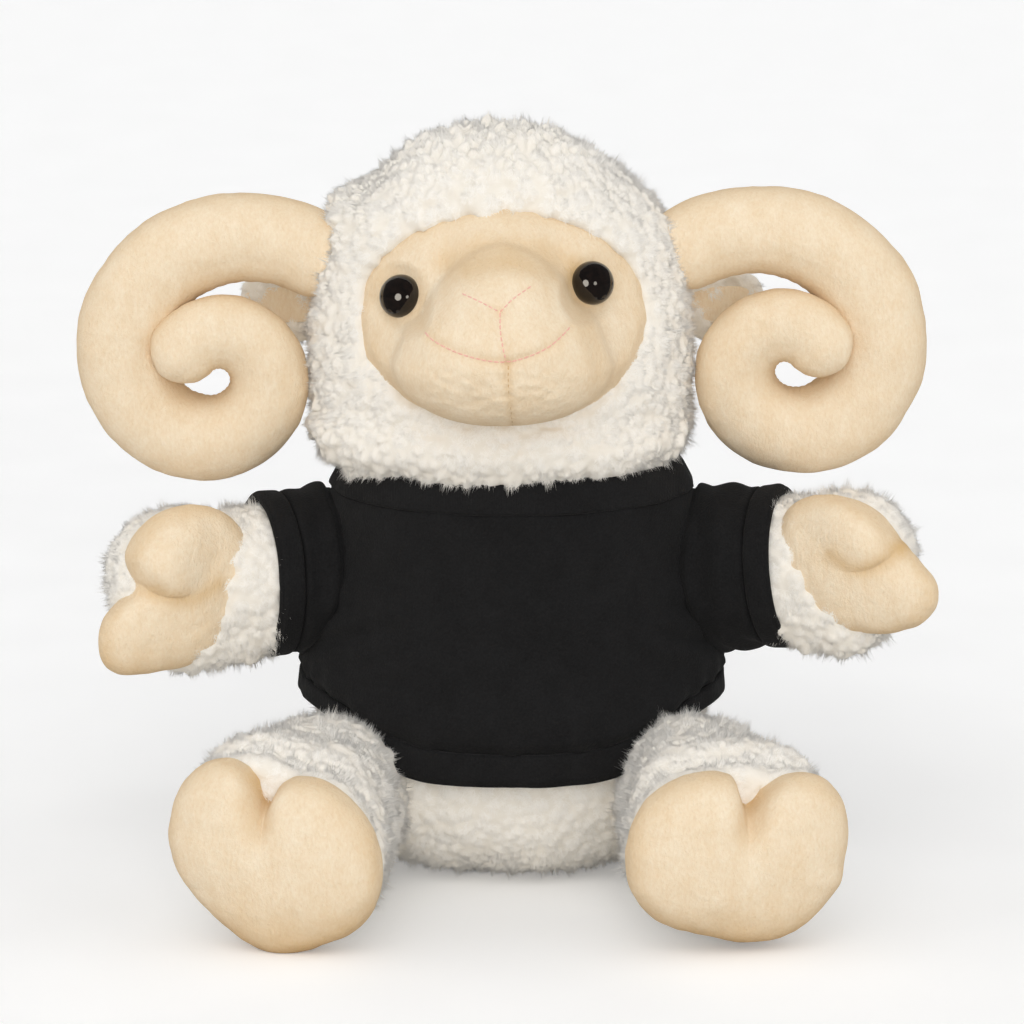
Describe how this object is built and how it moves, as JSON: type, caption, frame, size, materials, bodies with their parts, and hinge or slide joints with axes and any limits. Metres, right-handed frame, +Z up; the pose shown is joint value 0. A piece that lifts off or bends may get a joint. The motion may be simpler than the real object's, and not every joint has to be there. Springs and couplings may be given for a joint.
{
  "type": "plush sheep",
  "caption": "A small seated plush ram with curly white pile, a cream face and pads, spiral horns and a black T-shirt. Its head and limbs flex at their seams",
  "frame": {"origin": "middle of the flat seat that the toy sits on, on the floor plane", "axes": "+Z up, the face looks along -Y, +X to the right in the picture"},
  "size_m": [0.2111, 0.1525, 0.182],
  "materials": {
    "wool": "matte",
    "plush": "matte",
    "jersey": "matte",
    "stuffing": "matte",
    "pink_thread": "satin",
    "tan_thread": "satin",
    "eye_plastic": "gloss",
    "washer_plastic": "satin",
    "pouch_cloth": "matte"
  },
  "bodies": {
    "torso": {"torso_cover": "wool", "torso_stuffing": "stuffing", "pellet_pouch": "pouch_cloth", "shirt_body": "jersey", "shirt_hem": "jersey", "shirt_collar": "jersey"},
    "neck": {"neck_tube": "wool"},
    "head": {"head_cover": "wool", "head_stuffing": "stuffing", "face_panel": "plush", "eye_left": "eye_plastic", "eye_right": "eye_plastic", "eye_washer_left": "washer_plastic", "eye_washer_right": "washer_plastic", "nose_stitch": "pink_thread", "mouth_stitch": "pink_thread", "chin_seam_stitch": "tan_thread"},
    "tail": {"tail": "wool"},
    "horn_left": {"horn_cover_left": "plush", "horn_stuffing_left": "stuffing"},
    "ear_left": {"ear_back_left": "wool", "ear_lining_left": "plush"},
    "arm_left": {"arm_cover_left": "wool", "hand_pad_left": "plush", "arm_stuffing_left": "stuffing", "sleeve_left": "jersey", "sleeve_hem_left": "jersey"},
    "leg_left": {"leg_cover_left": "wool", "sole_pad_left": "plush", "leg_stuffing_left": "stuffing"},
    "horn_right": {"horn_cover_right": "plush", "horn_stuffing_right": "stuffing"},
    "ear_right": {"ear_back_right": "wool", "ear_lining_right": "plush"},
    "arm_right": {"arm_cover_right": "wool", "hand_pad_right": "plush", "arm_stuffing_right": "stuffing", "sleeve_right": "jersey", "sleeve_hem_right": "jersey"},
    "leg_right": {"leg_cover_right": "wool", "sole_pad_right": "plush", "leg_stuffing_right": "stuffing"}
  },
  "joints": [
    {"name": "head_turn", "type": "hinge", "parent": "torso", "child": "neck", "pos_m": [-0.0022, 0, 0.096], "axis": [0, 0, 1], "range_deg": [-20, 20], "stiffness_Nm_per_rad": 0.05},
    {"name": "head_nod", "type": "hinge", "parent": "neck", "child": "head", "pos_m": [-0.0022, 0, 0.126], "axis": [1, 0, 0], "range_deg": [-8, 8], "stiffness_Nm_per_rad": 0.05},
    {"name": "horn_left_flex", "type": "hinge", "parent": "head", "child": "horn_left", "pos_m": [-0.04866, 0, 0.1526], "axis": [0, 0, 1], "range_deg": [-6, 12], "stiffness_Nm_per_rad": 0.02},
    {"name": "horn_right_flex", "type": "hinge", "parent": "head", "child": "horn_right", "pos_m": [0.04369, 0, 0.1544], "axis": [0, 0, -1], "range_deg": [-6, 12], "stiffness_Nm_per_rad": 0.02},
    {"name": "ear_left_flex", "type": "hinge", "parent": "head", "child": "ear_left", "pos_m": [-0.04632, 0.01578, 0.137], "axis": [0, 0, -1], "range_deg": [-8, 15], "stiffness_Nm_per_rad": 0.005},
    {"name": "ear_right_flex", "type": "hinge", "parent": "head", "child": "ear_right", "pos_m": [0.04192, 0.01578, 0.137], "axis": [0, 0, 1], "range_deg": [-8, 15], "stiffness_Nm_per_rad": 0.005},
    {"name": "arm_left_lift", "type": "hinge", "parent": "torso", "child": "arm_left", "pos_m": [-0.048, -0.002, 0.0735], "axis": [-0.342, 0.9397, 0], "range_deg": [-20, 5], "stiffness_Nm_per_rad": 0.1, "deforming": ["shirt_body"]},
    {"name": "arm_right_lift", "type": "hinge", "parent": "torso", "child": "arm_right", "pos_m": [0.048, -0.002, 0.0735], "axis": [-0.342, -0.9397, 0], "range_deg": [-20, 5], "stiffness_Nm_per_rad": 0.1},
    {"name": "leg_left_lift", "type": "hinge", "parent": "torso", "child": "leg_left", "pos_m": [-0.043, -0.0275, 0.0226], "axis": [-0.9744, 0.225, 0], "range_deg": [-12, 25], "stiffness_Nm_per_rad": 0.1, "deforming": ["shirt_hem"]},
    {"name": "leg_right_lift", "type": "hinge", "parent": "torso", "child": "leg_right", "pos_m": [0.043, -0.0275, 0.0226], "axis": [-0.9848, -0.1736, 0], "range_deg": [-12, 25], "stiffness_Nm_per_rad": 0.1},
    {"name": "tail_lift", "type": "hinge", "parent": "torso", "child": "tail", "pos_m": [0, 0.0438, 0.02], "axis": [1, 0, 0], "range_deg": [-8, 20], "stiffness_Nm_per_rad": 0.01}
  ]
}
